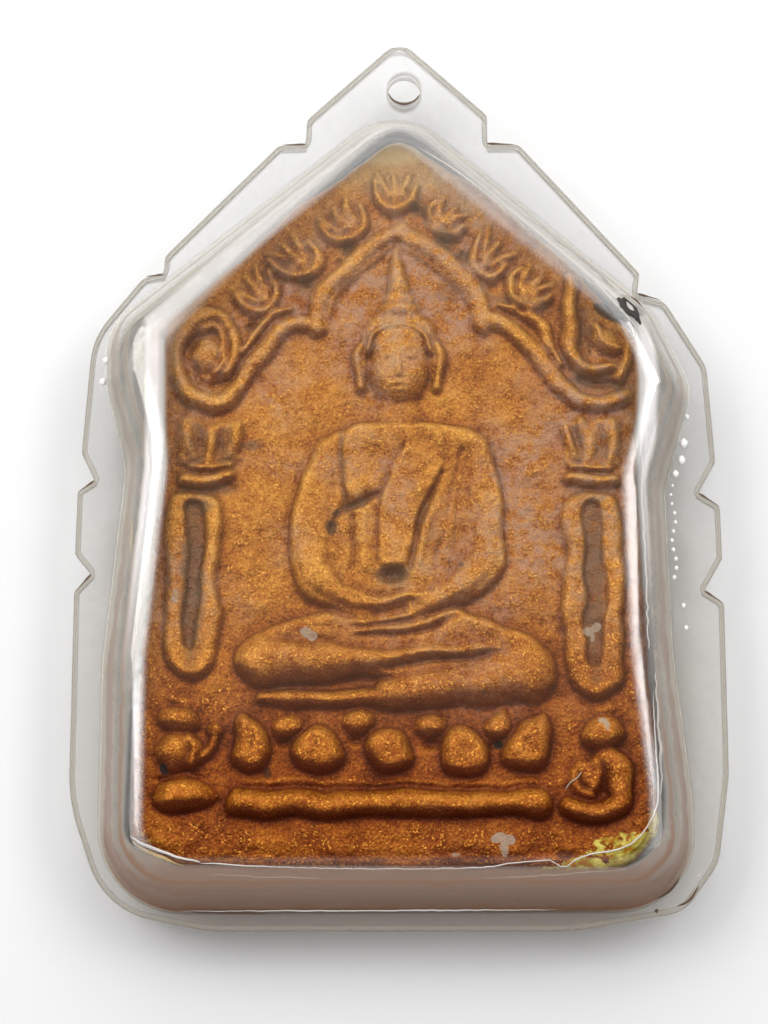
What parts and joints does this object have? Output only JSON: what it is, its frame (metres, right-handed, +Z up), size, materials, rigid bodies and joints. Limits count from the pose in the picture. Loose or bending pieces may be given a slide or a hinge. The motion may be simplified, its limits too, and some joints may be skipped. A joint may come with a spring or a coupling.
{
  "type": "cased votive amulet pendant",
  "caption": "Gabled pressed-clay votive tablet with a seated meditating figure in relief, sealed in a clear two-part plastic case with a holed hanging tab.",
  "frame": {"origin": "on the surface that the pendant lies on, under the middle of the case's outline", "axes": "+Z up through the front window, +Y towards the hanging tab, +X to the figure's left as seen from the front"},
  "size_m": [0.0318, 0.0448, 0.0065],
  "materials": {
    "painted_clay": "bronze-gold metallic paint over pressed cream clay, worn at the edges",
    "front_plastic": "clear, aged slightly grey-yellow, glossy",
    "back_plastic": "clear, aged slightly grey-yellow, glossy"
  },
  "bodies": {
    "root": {"tablet": "painted_clay", "front_shell": "front_plastic", "back_shell": "back_plastic"}
  },
  "joints": []
}
